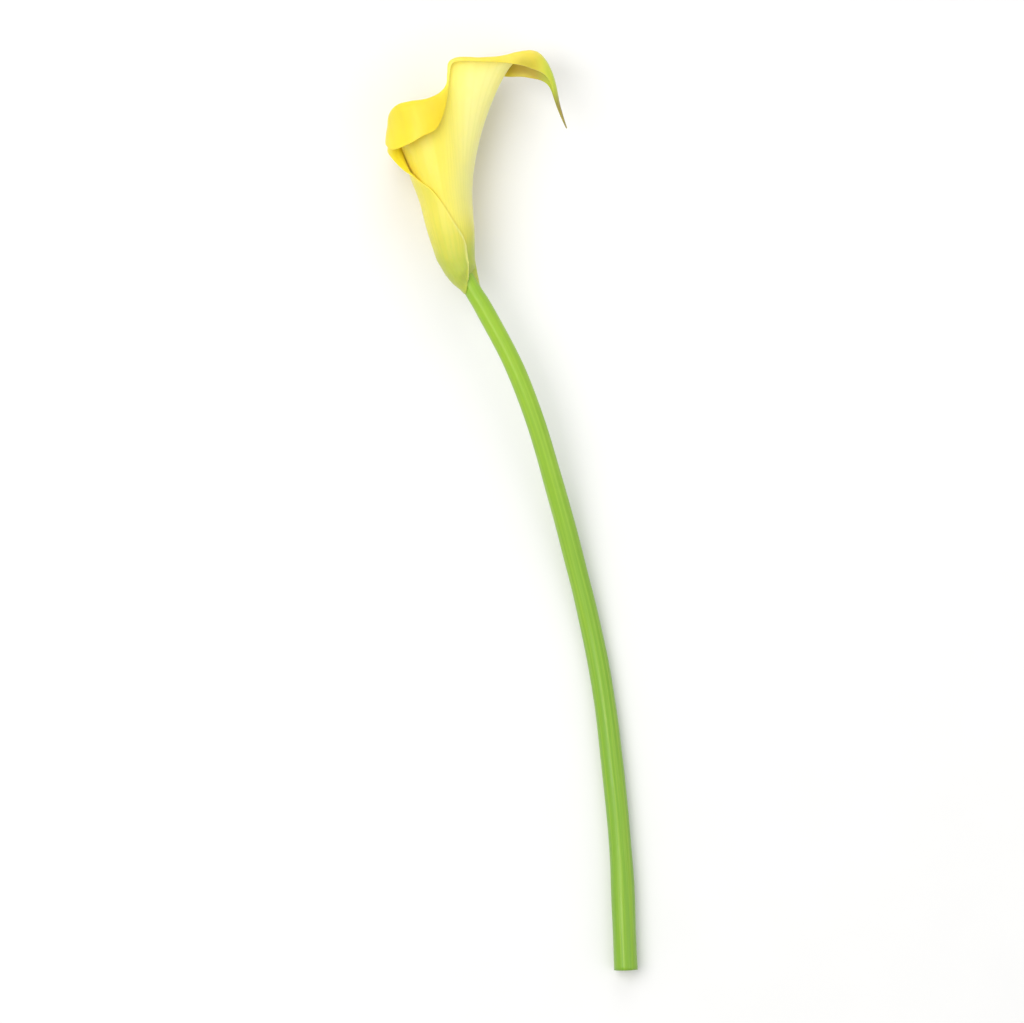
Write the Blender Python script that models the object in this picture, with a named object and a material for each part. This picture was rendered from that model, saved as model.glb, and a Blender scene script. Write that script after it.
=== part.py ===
"""One yellow calla lily, picked and lying on its side: its stem, its spathe and the spadix inside.

Lengths in the tables are millimetres, and MM turns them into the scene's metres. In the flower's own
frame the origin is where the stem meets the spathe, +Y runs from the stem into the flower, the back of
the spathe and its drooping tip are on the +X side, and +Z is up. Angles round the funnel are in degrees
from +X towards +Z, and go past 180 where the sheet wraps over itself.
"""

import math

import bmesh
import bpy
from mathutils import Vector

MM = 0.001

# The spathe, one sheet wrapped round the spadix
SHEET_THICKNESS = 0.8
LAYER_SHIFT = 0.65
STEPS_UP = 18
STEPS_OVER = 4
STEPS_BETWEEN_VEINS = 2
PATH_STEPS = 16

# Where the sheet leaves the funnel to flare out: the height at the back, how much later at the front,
# and the share of a vein that always stays on the funnel
FLARE_START = 29.0
FLARE_DELAY = 7.0
FLARE_SHARE = 0.75

# How much of a side edge that lies on the funnel counts as its lip
PLAIN_LIP = 2.0

# The dried end of the tip: where it starts, and how far it leans outwards for each millimetre it drops
THREAD_START = (20.0, 57.0)
THREAD_LEAN = 0.26

# Height, centre across and radius of the funnel's lower part
TUBE = (
    (-6.0, 3.4, 3.7),
    (-2.6, 1.9, 3.7),
    (-0.9, 0.6, 3.8),
    (2.0, -1.2, 4.4),
    (4.0, -2.4, 4.8),
    (8.3, -4.1, 5.6),
    (17.6, -5.7, 7.0),
    (26.1, -7.1, 7.8),
    (32.1, -8.3, 8.9),
    (40.0, -9.8, 10.4),
)

# The lower edge of the sheet, round the stem: angle and height
FOOT = (
    (-305.0, 7.2),
    (-298.0, 4.7),
    (-290.0, 3.1),
    (-280.0, 1.9),
    (-243.0, -0.7),
    (-201.0, -2.3),
    (-150.0, -1.2),
    (-100.0, -1.2),
    (-50.0, -2.2),
    (-25.0, -0.5),
    (0.0, 3.4),
    (80.0, 3.6),
    (225.0, 2.6),
)

# The free edge of the outer side, where it lies on the funnel: angle and height
FLAP_EDGE = (
    (-305.0, 12.4),
    (-298.0, 15.2),
    (-290.0, 17.2),
    (-280.0, 19.6),
    (-261.0, 25.4),
    (-243.0, 30.0),
    (-223.0, 32.6),
)

# The lip: angle round the funnel, top of the lip, edge of the lip, sweep over the top
LIP = (
    (-212.0, (-17.0, 33.8, 5.6), (-17.7, 34.4, 6.4), (-0.8, 0.5, 0.7)),
    (-201.0, (-19.3, 36.2, 4.9), (-20.5, 36.1, 5.8), (-2.0, 0.2, 1.4)),
    (-190.0, (-21.5, 39.8, 3.2), (-23.0, 38.4, 4.4), (-4.0, 0.0, 1.2)),
    (-180.0, (-23.1, 43.4, 0.9), (-25.1, 41.2, 1.2), (-6.0, 0.0, 0.4)),
    (-168.0, (-23.8, 47.2, -2.7), (-25.8, 42.8, -3.6), (-7.0, 0.0, -1.0)),
    (-150.0, (-22.4, 51.5, -7.0), (-24.8, 42.8, -10.3), (-7.0, 0.0, -4.0)),
    (-130.0, (-20.0, 53.6, -10.3), (-20.6, 44.0, -15.2), (-5.0, 0.0, -7.0)),
    (-110.0, (-16.5, 54.8, -12.0), (-15.0, 46.0, -16.0), (-2.0, 0.0, -8.0)),
    (-96.0, (-13.0, 55.8, -12.0), (-10.2, 47.6, -16.7), (0.0, 0.0, -8.0)),
    (-84.0, (-9.8, 57.4, -11.0), (-6.3, 50.8, -16.7), (0.0, 0.0, -7.0)),
    (-75.0, (-7.6, 59.8, -10.0), (-4.9, 55.4, -14.2), (0.0, 0.0, -6.0)),
    (-66.0, (-6.2, 63.6, -8.9), (-4.4, 60.6, -11.7), (0.0, 0.0, -6.0)),
    (-57.0, (-5.6, 68.2, -7.8), (-4.2, 66.8, -9.6), (0.0, 0.0, -6.0)),
    (-48.0, (-3.0, 70.2, -7.0), (-2.4, 68.4, -8.6), (1.0, 0.0, -6.0)),
    (-38.0, (3.0, 70.8, -5.8), (3.8, 68.0, -7.6), (4.0, 0.0, -5.0)),
    (-29.0, (9.5, 71.6, -4.3), (11.2, 66.4, -6.0), (12.0, 0.0, -5.0)),
    (-20.0, (14.6, 73.1, -2.8), (18.2, 66.0, -4.4), (20.0, 0.0, -3.0)),
    (-10.0, (17.8, 73.9, -1.4), (25.2, 62.8, -2.4), (25.0, 0.0, -1.0)),
    (0.0, (19.4, 74.1, 0.0), (28.6, 49.7, 0.0), (26.0, 0.0, 0.0)),
    (10.0, (17.8, 73.9, 1.4), (25.2, 64.4, 2.4), (25.0, 0.0, 1.0)),
    (20.0, (14.6, 73.3, 2.7), (18.5, 68.6, 4.0), (20.0, 0.0, 3.0)),
    (29.0, (9.5, 72.0, 4.0), (11.2, 69.4, 5.2), (12.0, 0.0, 4.0)),
    (38.0, (3.0, 71.5, 5.4), (3.6, 69.9, 6.7), (4.0, 0.0, 4.0)),
    (48.0, (-3.4, 71.5, 6.3), (-2.8, 69.9, 7.5), (0.0, 0.0, 4.0)),
    (57.0, (-6.4, 70.0, 6.8), (-5.0, 68.9, 8.0), (0.0, 0.0, 3.5)),
    (66.0, (-6.8, 66.6, 7.3), (-5.7, 65.2, 8.2), (0.0, 0.0, 3.0)),
    (75.0, (-7.2, 62.9, 8.2), (-6.1, 59.8, 9.4), (0.0, 0.0, 3.5)),
    (84.0, (-9.6, 60.0, 9.4), (-7.1, 53.8, 11.4), (0.0, 0.0, 5.0)),
    (96.0, (-13.8, 58.2, 10.6), (-10.3, 48.7, 13.6), (0.0, 0.0, 7.0)),
    (110.0, (-18.4, 57.5, 10.6), (-14.8, 46.4, 14.8), (-2.0, 0.0, 8.0)),
    (130.0, (-22.8, 56.3, 8.8), (-19.4, 43.9, 12.6), (-5.0, 0.0, 7.0)),
    (150.0, (-25.4, 53.2, 5.2), (-24.2, 42.6, 8.0), (-7.0, 0.0, 4.0)),
    (165.0, (-24.6, 50.2, 2.6), (-26.2, 44.8, 3.4), (-7.0, 0.0, 1.5)),
    (176.0, (-22.0, 46.2, 0.5), (-23.6, 45.4, 0.8), (-2.5, 0.0, 0.4)),
    (184.0, (-20.4, 42.8, -0.9), (-20.9, 44.0, -1.0), (-0.5, 1.4, -0.1)),
    (192.0, (-18.9, 39.2, -2.1), (-19.6, 41.0, -2.2), (-0.7, 1.8, -0.1)),
)

# The inner side's free edge, tucked inside the funnel: angle and height
TUCKED_EDGE = ((203.0, 37.0), (225.0, 22.0))

# The stem: centre line from inside the spathe to the cut end, and its radius there
STEM = (
    (-4.3, 8.4, 0.0, 1.6),
    (-3.3, 5.8, 0.0, 1.7),
    (-2.0, 4.0, 0.0, 1.9),
    (-1.2, 2.9, 0.0, 2.5),
    (0.1, 0.2, 0.0, 2.7),
    (2.0, -3.0, -0.1, 2.75),
    (4.9, -7.8, -0.3, 2.85),
    (14.4, -25.4, -1.3, 2.9),
    (20.8, -42.3, -3.2, 3.0),
    (27.4, -65.0, -7.4, 3.1),
    (33.6, -88.0, -11.4, 3.2),
    (38.9, -110.0, -13.8, 3.3),
    (42.7, -131.0, -14.0, 3.4),
    (47.6, -176.0, -13.8, 3.6),
    (49.4, -216.0, -13.6, 3.8),
)
STEM_SIDES = 14
STEM_RINGS = 44

# The spadix: centre line and radius
SPADIX = (
    (-4.44, 8.75, 0.0, 1.5),
    (-5.0, 10.4, 0.0, 2.1),
    (-5.3, 12.4, 0.0, 2.4),
    (-6.0, 17.0, 0.0, 2.6),
    (-7.6, 27.0, 0.0, 2.7),
    (-9.2, 37.0, 0.0, 2.6),
    (-10.8, 46.5, 0.0, 2.3),
    (-11.6, 51.0, 0.0, 1.7),
    (-11.8, 52.5, 0.0, 0.9),
)
SPADIX_SIDES = 20
SPADIX_RINGS = 54
FLORET_RELIEF = 0.28


def between(rows, place):
    """Reads a table at a place between its rows, along a smooth curve through them."""
    last = len(rows) - 1
    start = min(int(place), last - 1)
    share = place - start
    before, here, after, beyond = (
        rows[min(max(start + shift, 0), last)] for shift in (-1, 0, 1, 2)
    )
    result = []
    for a, b, c, d in zip(before, here, after, beyond):
        slope_in, slope_out = (c - a) / 2, (d - b) / 2
        bend = 3 * (c - b) - 2 * slope_in - slope_out
        twist = slope_in + slope_out - 2 * (c - b)
        result.append(b + share * (slope_in + share * (bend + share * twist)))
    return result


def read_at(table, key):
    """The values of a table at a key, along a smooth curve through its rows."""
    low = 0
    while low < len(table) - 2 and key > table[low + 1][0]:
        low += 1
    share = (key - table[low][0]) / (table[low + 1][0] - table[low][0])
    return between(table, low + min(max(share, 0.0), 1.0))[1:]


def tube_point(angle, height):
    """A point of the sheet in the funnel's lower part."""
    centre, radius = read_at(TUBE, height)
    turn = math.radians(angle)
    reach = radius + layer_shift(angle)
    return Vector((centre + reach * math.cos(turn), height, reach * math.sin(turn)))


def ramp(value, start, end):
    """0 before the start, 1 after the end, and even in between."""
    return min(max((value - start) / (end - start), 0.0), 1.0)


def layer_shift(angle):
    """How far a layer lies out of the mean radius, so that the two sides clear each other."""
    return LAYER_SHIFT * (ramp(-angle, 60.0, 120.0) - ramp(angle, -15.0, 40.0))


def flare_start(angle):
    """The height where the sheet leaves the funnel: later at the front, where its two sides overlap."""
    return FLARE_START + FLARE_DELAY * (ramp(-angle, 110.0, 180.0) + ramp(angle, 110.0, 176.0))


def plain_vein(angle, end):
    """A guide vein that ends on the funnel."""
    top = tube_point(angle, end - PLAIN_LIP)
    edge = tube_point(angle, end)
    return [angle, *top, *edge, *(edge - top)]


def lip_vein(angle, top, edge, sweep):
    """A guide vein that flares and rolls over at the lip."""
    return [angle, *top, *edge, *sweep]


def guide_veins():
    """Every guide vein as numbers: angle, top of the lip, edge of the lip, sweep over the top."""
    flap = [plain_vein(angle, end) for angle, end in FLAP_EDGE]
    lip = [lip_vein(*row) for row in LIP]
    tucked = [plain_vein(angle, end) for angle, end in TUCKED_EDGE]
    return flap + lip + tucked


def funnel_path(angle, foot, start):
    """Points of a vein from the foot of the sheet up the funnel."""
    return [tube_point(angle, foot + (start - foot) * i / PATH_STEPS) for i in range(PATH_STEPS)]


def flare_path(first, rise, top, sweep):
    """Points of a vein from the funnel to the top of the lip."""
    path = []
    for i in range(PATH_STEPS + 1):
        t = i / PATH_STEPS
        leaving = first * (1 + 2 * t) * (1 - t) ** 2 + rise * t * (1 - t) ** 2
        arriving = top * t * t * (3 - 2 * t) + sweep * t * t * (t - 1)
        path.append(leaving + arriving)
    return path


def rolled_path(top, edge, sweep):
    """Points of a vein over the top of the lip, along a quarter of an ellipse to the edge."""
    heading = sweep.normalized()
    out = heading * (edge - top).dot(heading)
    drop = edge - top - out
    turns = [math.pi / 2 * i / PATH_STEPS for i in range(PATH_STEPS + 1)]
    return [top + out * math.sin(turn) + drop * (1 - math.cos(turn)) for turn in turns]


def leaning(point):
    """A point of the sheet, moved outwards where it belongs to the tip's thread."""
    across, height = THREAD_START
    if point.x > across and point.y < height:
        point.x += (height - point.y) * THREAD_LEAN
    return point


def vein_points(row):
    """Points of one vein, evenly spaced up to the top of the lip and again over it to the edge."""
    angle = row[0]
    top, edge, sweep = Vector(row[1:4]), Vector(row[4:7]), Vector(row[7:10])
    foot = read_at(FOOT, angle)[0]
    start = min(flare_start(angle), foot + FLARE_SHARE * (top.y - foot))
    first = tube_point(angle, start)
    rise = (first - tube_point(angle, start - 1.0)).normalized() * (top - first).length
    path = funnel_path(angle, foot, start) + flare_path(first, rise, top, sweep)
    points = spaced(path, STEPS_UP)[:-1] + spaced(rolled_path(top, edge, sweep), STEPS_OVER)
    return [leaning(point) for point in points]


def spaced(path, count):
    """The path again, as evenly spaced points."""
    lengths = [0.0]
    for a, b in zip(path, path[1:]):
        lengths.append(lengths[-1] + (b - a).length)
    points = []
    at = 0
    for i in range(count + 1):
        goal = lengths[-1] * i / count
        while at < len(path) - 2 and lengths[at + 1] < goal:
            at += 1
        span = lengths[at + 1] - lengths[at]
        points.append(path[at].lerp(path[at + 1], (goal - lengths[at]) / span))
    return points


def material(name, colour, roughness):
    """A Principled material in one colour."""
    made = bpy.data.materials.new(name)
    made.use_nodes = True
    shader = made.node_tree.nodes["Principled BSDF"]
    shader.inputs["Base Color"].default_value = (*colour, 1.0)
    shader.inputs["Roughness"].default_value = roughness
    shader.inputs["Metallic"].default_value = 0.0
    return made


def new_object(name, mesh_builder, finish):
    """Makes an object from a bmesh and gives it its material."""
    mesh = bpy.data.meshes.new(name)
    mesh_builder.to_mesh(mesh)
    mesh_builder.free()
    mesh.materials.append(finish)
    mesh.shade_smooth()
    thing = bpy.data.objects.new(name, mesh)
    bpy.context.collection.objects.link(thing)
    return thing


def make_spathe():
    """The sheet: a grid whose columns are the veins, thickened evenly."""
    guides = guide_veins()
    columns = (len(guides) - 1) * STEPS_BETWEEN_VEINS
    rows = STEPS_UP + STEPS_OVER
    work = bmesh.new()
    bmesh.ops.create_grid(work, x_segments=columns, y_segments=rows, size=1.0)
    work.verts.ensure_lookup_table()
    veins = [vein_points(between(guides, i / STEPS_BETWEEN_VEINS)) for i in range(columns + 1)]
    for vertex in work.verts:
        column = round((vertex.co.x + 1) / 2 * columns)
        step = round((vertex.co.y + 1) / 2 * rows)
        vertex.co = veins[column][step] * MM
    bmesh.ops.triangulate(work, faces=work.faces[:], quad_method="SHORT_EDGE")
    spathe = new_object("spathe", work, material("yellow sheet", (0.93, 0.78, 0.12), 0.45))
    thick = spathe.modifiers.new("thickness", "SOLIDIFY")
    thick.thickness = SHEET_THICKNESS * MM
    thick.offset = 0.0
    thick.use_even_offset = False
    return spathe


def rod(stations, sides, rings, relief=0.0):
    """A closed round rod along a centre line, with staggered rows of studs where relief is given."""
    work = bmesh.new()
    loops = []
    last = len(stations) - 1
    for ring in range(rings + 1):
        place = last * ring / rings
        x, y, z, radius = between(stations, place)
        ahead = Vector(between(stations, min(place + 0.02, last))[:3])
        behind = Vector(between(stations, max(place - 0.02, 0.0))[:3])
        along = (ahead - behind).normalized()
        side = along.cross(Vector((0.0, 0.0, 1.0))).normalized()
        up = side.cross(along)
        loop = []
        for i in range(sides):
            turn = math.tau * i / sides
            raised = radius + (relief if (i + ring) % 2 else -relief)
            offset = (side * math.cos(turn) + up * math.sin(turn)) * raised
            loop.append(work.verts.new((Vector((x, y, z)) + offset) * MM))
        loops.append(loop)
    for low, high in zip(loops, loops[1:]):
        for i in range(sides):
            j = (i + 1) % sides
            work.faces.new((low[i], low[j], high[j], high[i]))
    work.faces.new(loops[0][::-1])
    work.faces.new(loops[-1])
    bmesh.ops.recalc_face_normals(work, faces=work.faces[:])
    return work


def make_stem():
    """The stalk, which narrows inside the spathe and carries the spadix there."""
    work = rod(STEM, STEM_SIDES, STEM_RINGS)
    return new_object("stem", work, material("green stalk", (0.22, 0.48, 0.06), 0.4))


def make_spadix():
    """The rod of florets, as rows of studs."""
    work = rod(SPADIX, SPADIX_SIDES, SPADIX_RINGS, FLORET_RELIEF)
    return new_object("spadix", work, material("pollen yellow", (0.86, 0.62, 0.08), 0.8))


def lay_down(things):
    """Moves the flower so that it stands on the ground with the origin under the middle of its box."""
    bpy.context.view_layer.update()
    graph = bpy.context.evaluated_depsgraph_get()
    points = []
    for thing in things:
        mesh = thing.evaluated_get(graph).to_mesh()
        points += [vertex.co.copy() for vertex in mesh.vertices]
    low = Vector([min(point[axis] for point in points) for axis in range(3)])
    high = Vector([max(point[axis] for point in points) for axis in range(3)])
    middle = (low + high) / 2
    for thing in things:
        thing.location = (-middle.x, -middle.y, -low.z)


def main():
    """Clears the scene and builds the flower."""
    for old in list(bpy.data.objects):
        bpy.data.objects.remove(old)
    lay_down([make_stem(), make_spathe(), make_spadix()])


if __name__ == "__main__":
    main()
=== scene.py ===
"""Dresses one yellow calla lily, picked and lying on its side, as finished meshes and materials.

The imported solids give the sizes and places. Lengths in the tables are millimetres in the flower's own
frame, as in the solids' source: the origin is where the stem meets the spathe, +Y runs into the flower, +X
is the side that the tip droops to, and +Z is up. Angles round the funnel are in degrees from +X towards
+Z, and go past 180 where the sheet wraps over itself.
"""

import logging
import math
import random
from dataclasses import dataclass
from enum import Enum

import bmesh
import bpy
from mathutils import Matrix, Vector, noise


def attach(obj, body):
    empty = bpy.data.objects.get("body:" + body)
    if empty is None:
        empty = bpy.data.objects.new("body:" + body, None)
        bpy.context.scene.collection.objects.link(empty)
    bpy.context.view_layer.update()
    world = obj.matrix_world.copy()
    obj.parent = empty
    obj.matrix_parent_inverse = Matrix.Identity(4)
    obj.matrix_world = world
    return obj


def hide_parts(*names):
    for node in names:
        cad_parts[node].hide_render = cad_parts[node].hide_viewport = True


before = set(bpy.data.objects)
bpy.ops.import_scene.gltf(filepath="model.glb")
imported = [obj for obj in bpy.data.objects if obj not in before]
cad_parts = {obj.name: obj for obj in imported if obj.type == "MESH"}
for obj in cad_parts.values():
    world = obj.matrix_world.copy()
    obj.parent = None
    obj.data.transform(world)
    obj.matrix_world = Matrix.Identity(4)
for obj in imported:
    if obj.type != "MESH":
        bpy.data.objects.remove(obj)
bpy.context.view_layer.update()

Colour = tuple[float, float, float]
Triple = tuple[float, float, float]
Span = tuple[float, float]

MM = 0.001
BODY = "root"
UP = Vector((0.0, 0.0, 1.0))
HALF_ROD = 0.5

# Where the flower's own origin lies in the shared frame, in millimetres
FLOWER_BASE = Vector((-13.299, 70.838, 17.334))

log = logging.getLogger("calla lily")


@dataclass(frozen=True)
class LipPoint:
    """A guide vein's end, in millimetres: the lip's top and edge, and the vein's sweep over the top."""

    angle: float
    top: Triple
    edge: Triple
    sweep: Triple


# Height, centre across and radius of the funnel's lower part
TUBE = (
    (-6.0, 3.4, 3.7),
    (-2.6, 1.9, 3.7),
    (-0.9, 0.6, 3.8),
    (2.0, -1.2, 4.4),
    (4.0, -2.4, 4.8),
    (8.3, -4.1, 5.6),
    (17.6, -5.7, 7.0),
    (26.1, -7.1, 7.8),
    (32.1, -8.3, 8.9),
    (40.0, -9.8, 10.4),
)

# The lower edge of the sheet, round the stem: angle and height
FOOT = (
    (-305.0, 7.2),
    (-298.0, 4.7),
    (-290.0, 3.1),
    (-280.0, 1.9),
    (-243.0, -0.7),
    (-201.0, -2.3),
    (-150.0, -1.2),
    (-100.0, -1.2),
    (-50.0, -2.2),
    (-25.0, -0.5),
    (0.0, 3.4),
    (80.0, 3.6),
    (225.0, 2.6),
)

# The free edge of the outer side, where it lies on the funnel: angle and height
FLAP_EDGE = (
    (-305.0, 12.4),
    (-298.0, 15.2),
    (-290.0, 17.2),
    (-280.0, 19.6),
    (-261.0, 25.4),
    (-243.0, 30.0),
    (-223.0, 32.6),
)

# The rolled lip: from the outer side, round underneath, past the tip at 0 degrees, to the inner side
LIP = (
    LipPoint(-212.0, (-17.0, 33.8, 5.6), (-17.7, 34.4, 6.4), (-0.8, 0.5, 0.7)),
    LipPoint(-201.0, (-19.3, 36.2, 4.9), (-20.5, 36.1, 5.8), (-2.0, 0.2, 1.4)),
    LipPoint(-190.0, (-21.5, 39.8, 3.2), (-23.0, 38.4, 4.4), (-4.0, 0.0, 1.2)),
    LipPoint(-180.0, (-23.1, 43.4, 0.9), (-25.1, 41.2, 1.2), (-6.0, 0.0, 0.4)),
    LipPoint(-168.0, (-23.8, 47.2, -2.7), (-25.8, 42.8, -3.6), (-7.0, 0.0, -1.0)),
    LipPoint(-150.0, (-22.4, 51.5, -7.0), (-24.8, 42.8, -10.3), (-7.0, 0.0, -4.0)),
    LipPoint(-130.0, (-20.0, 53.6, -10.3), (-20.6, 44.0, -15.2), (-5.0, 0.0, -7.0)),
    LipPoint(-110.0, (-16.5, 54.8, -12.0), (-15.0, 46.0, -16.0), (-2.0, 0.0, -8.0)),
    LipPoint(-96.0, (-13.0, 55.8, -12.0), (-10.2, 47.6, -16.7), (0.0, 0.0, -8.0)),
    LipPoint(-84.0, (-9.8, 57.4, -11.0), (-6.3, 50.8, -16.7), (0.0, 0.0, -7.0)),
    LipPoint(-75.0, (-7.6, 59.8, -10.0), (-4.9, 55.4, -14.2), (0.0, 0.0, -6.0)),
    LipPoint(-66.0, (-6.2, 63.6, -8.9), (-4.4, 60.6, -11.7), (0.0, 0.0, -6.0)),
    LipPoint(-57.0, (-5.6, 68.2, -7.8), (-4.2, 66.8, -9.6), (0.0, 0.0, -6.0)),
    LipPoint(-48.0, (-3.0, 70.2, -7.0), (-2.4, 68.4, -8.6), (1.0, 0.0, -6.0)),
    LipPoint(-38.0, (3.0, 70.8, -5.8), (3.8, 68.0, -7.6), (4.0, 0.0, -5.0)),
    LipPoint(-29.0, (9.5, 71.6, -4.3), (11.2, 66.4, -6.0), (12.0, 0.0, -5.0)),
    LipPoint(-20.0, (14.6, 73.1, -2.8), (18.2, 66.0, -4.4), (20.0, 0.0, -3.0)),
    LipPoint(-10.0, (17.8, 73.9, -1.4), (25.2, 62.8, -2.4), (25.0, 0.0, -1.0)),
    LipPoint(0.0, (19.4, 74.1, 0.0), (28.6, 49.7, 0.0), (26.0, 0.0, 0.0)),
    LipPoint(10.0, (17.8, 73.9, 1.4), (25.2, 64.4, 2.4), (25.0, 0.0, 1.0)),
    LipPoint(20.0, (14.6, 73.3, 2.7), (18.5, 68.6, 4.0), (20.0, 0.0, 3.0)),
    LipPoint(29.0, (9.5, 72.0, 4.0), (11.0, 70.0, 5.0), (12.0, 0.0, 4.0)),
    LipPoint(38.0, (3.0, 71.5, 5.4), (3.4, 70.3, 6.4), (4.0, 0.0, 4.0)),
    LipPoint(48.0, (-3.4, 71.5, 6.3), (-3.0, 70.3, 7.2), (0.0, 0.0, 4.0)),
    LipPoint(57.0, (-6.4, 70.0, 6.8), (-5.6, 69.2, 7.7), (0.0, 0.0, 3.5)),
    LipPoint(66.0, (-6.8, 66.6, 7.3), (-6.3, 65.5, 7.9), (0.0, 0.0, 3.0)),
    LipPoint(75.0, (-7.2, 62.9, 8.2), (-6.8, 60.6, 9.0), (0.0, 0.0, 3.5)),
    LipPoint(84.0, (-9.6, 60.0, 9.4), (-7.9, 54.6, 10.9), (0.0, 0.0, 5.0)),
    LipPoint(96.0, (-13.8, 58.2, 10.6), (-10.4, 48.8, 12.8), (0.0, 0.0, 6.0)),
    LipPoint(110.0, (-18.4, 57.5, 10.6), (-14.8, 46.4, 13.6), (-2.0, 0.0, 7.0)),
    LipPoint(130.0, (-22.8, 56.3, 8.8), (-19.4, 43.9, 11.8), (-5.0, 0.0, 6.5)),
    LipPoint(150.0, (-25.4, 53.2, 5.2), (-24.2, 42.6, 8.0), (-7.0, 0.0, 4.0)),
    LipPoint(165.0, (-24.8, 50.2, 2.6), (-26.3, 44.8, 3.4), (-7.0, 0.0, 1.5)),
    LipPoint(176.0, (-22.6, 46.2, 0.5), (-24.0, 45.4, 0.8), (-2.5, 0.0, 0.4)),
    LipPoint(184.0, (-20.7, 42.8, -0.9), (-21.2, 44.0, -1.0), (-0.5, 1.4, -0.1)),
    LipPoint(192.0, (-19.1, 39.2, -2.1), (-19.8, 41.0, -2.2), (-0.7, 1.8, -0.1)),
)

# The inner side's free edge, tucked inside the funnel: angle and height
TUCKED_EDGE = ((203.0, 37.0), (225.0, 22.0))

# The stem: centre line from inside the spathe to the cut end, and its radius there
STEM = (
    (-4.3, 8.4, 0.0, 1.6),
    (-3.3, 5.8, 0.0, 1.7),
    (-2.0, 4.0, 0.0, 1.9),
    (-1.2, 2.9, 0.0, 2.5),
    (0.1, 0.2, 0.0, 2.7),
    (2.0, -3.0, -0.1, 2.75),
    (4.9, -7.8, -0.3, 2.85),
    (14.4, -25.4, -1.3, 2.9),
    (20.8, -42.3, -3.2, 3.0),
    (27.4, -65.0, -7.4, 3.1),
    (33.6, -88.0, -11.4, 3.2),
    (38.9, -110.0, -13.8, 3.3),
    (42.7, -131.0, -14.0, 3.4),
    (47.6, -176.0, -13.8, 3.6),
    (49.4, -216.0, -13.6, 3.8),
)

# The spadix: centre line and radius
SPADIX = (
    (-4.44, 8.75, 0.0, 1.5),
    (-5.0, 10.4, 0.0, 2.1),
    (-5.3, 12.4, 0.0, 2.4),
    (-6.0, 17.0, 0.0, 2.6),
    (-7.6, 27.0, 0.0, 2.7),
    (-9.2, 37.0, 0.0, 2.6),
    (-10.8, 46.5, 0.0, 2.3),
    (-11.6, 51.0, 0.0, 1.7),
    (-11.8, 52.5, 0.0, 0.9),
)


def between(rows: list | tuple, place: float) -> list[float]:
    """Reads a table at a place between its rows, along a smooth curve through them.

    Args:
        rows: Rows of numbers, all of one length.
        place: Row number, which may lie between two rows.

    Returns:
        One number for each column.
    """
    last = len(rows) - 1
    start = min(int(place), last - 1)
    share = place - start
    before, here, after, beyond = (
        rows[min(max(start + shift, 0), last)] for shift in (-1, 0, 1, 2)
    )
    result = []
    for a, b, c, d in zip(before, here, after, beyond):
        slope_in, slope_out = (c - a) / 2, (d - b) / 2
        bend = 3 * (c - b) - 2 * slope_in - slope_out
        twist = slope_in + slope_out - 2 * (c - b)
        result.append(b + share * (slope_in + share * (bend + share * twist)))
    return result


def read_at(table: tuple, key: float) -> list[float]:
    """Reads a table at a key, along a smooth curve through its rows.

    Args:
        table: Rows whose first number is the key, in rising order.
        key: Where to read.

    Returns:
        The other numbers of the row at that key.
    """
    low = 0
    while low < len(table) - 2 and key > table[low + 1][0]:
        low += 1
    share = (key - table[low][0]) / (table[low + 1][0] - table[low][0])
    return between(table, low + min(max(share, 0.0), 1.0))[1:]


def ramp(value: float, start: float, end: float) -> float:
    """Gives 0 at or before the start, 1 at or after the end, and an even slope between."""
    return min(max((value - start) / (end - start), 0.0), 1.0)


def soft_ramp(value: float, start: float, end: float) -> float:
    """Gives a ramp that eases in and out."""
    share = ramp(value, start, end)
    return share * share * (3 - 2 * share)


def spaced(path: list[Vector], count: int) -> list[Vector]:
    """Resamples a path.

    Args:
        path: Close points along a curve.
        count: Number of steps wanted.

    Returns:
        One more point than steps, evenly spaced along the path.
    """
    lengths = [0.0]
    for a, b in zip(path, path[1:]):
        lengths.append(lengths[-1] + (b - a).length)
    points = []
    at = 0
    for i in range(count + 1):
        goal = lengths[-1] * i / count
        while at < len(path) - 2 and lengths[at + 1] < goal:
            at += 1
        span = lengths[at + 1] - lengths[at]
        points.append(path[at].lerp(path[at + 1], (goal - lengths[at]) / span))
    return points


def stem_at_height(height: float) -> tuple[Vector, float]:
    """Reads the stem's table at a height.

    Args:
        height: How far up the flower's own frame, in millimetres.

    Returns:
        The stem's centre there and its radius.
    """
    low = 0
    while low < len(STEM) - 2 and height < STEM[low + 1][1]:
        low += 1
    share = ramp(STEM[low][1] - height, 0.0, STEM[low][1] - STEM[low + 1][1])
    across, along, level, radius = between(STEM, low + share)
    return Vector((across, along, level)), radius


def section_axes(tangent: Vector) -> tuple[Vector, Vector]:
    """Gives the two directions across a rod that runs along the tangent: the level one, and upwards."""
    side = tangent.cross(UP).normalized()
    return side, side.cross(tangent)


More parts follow.
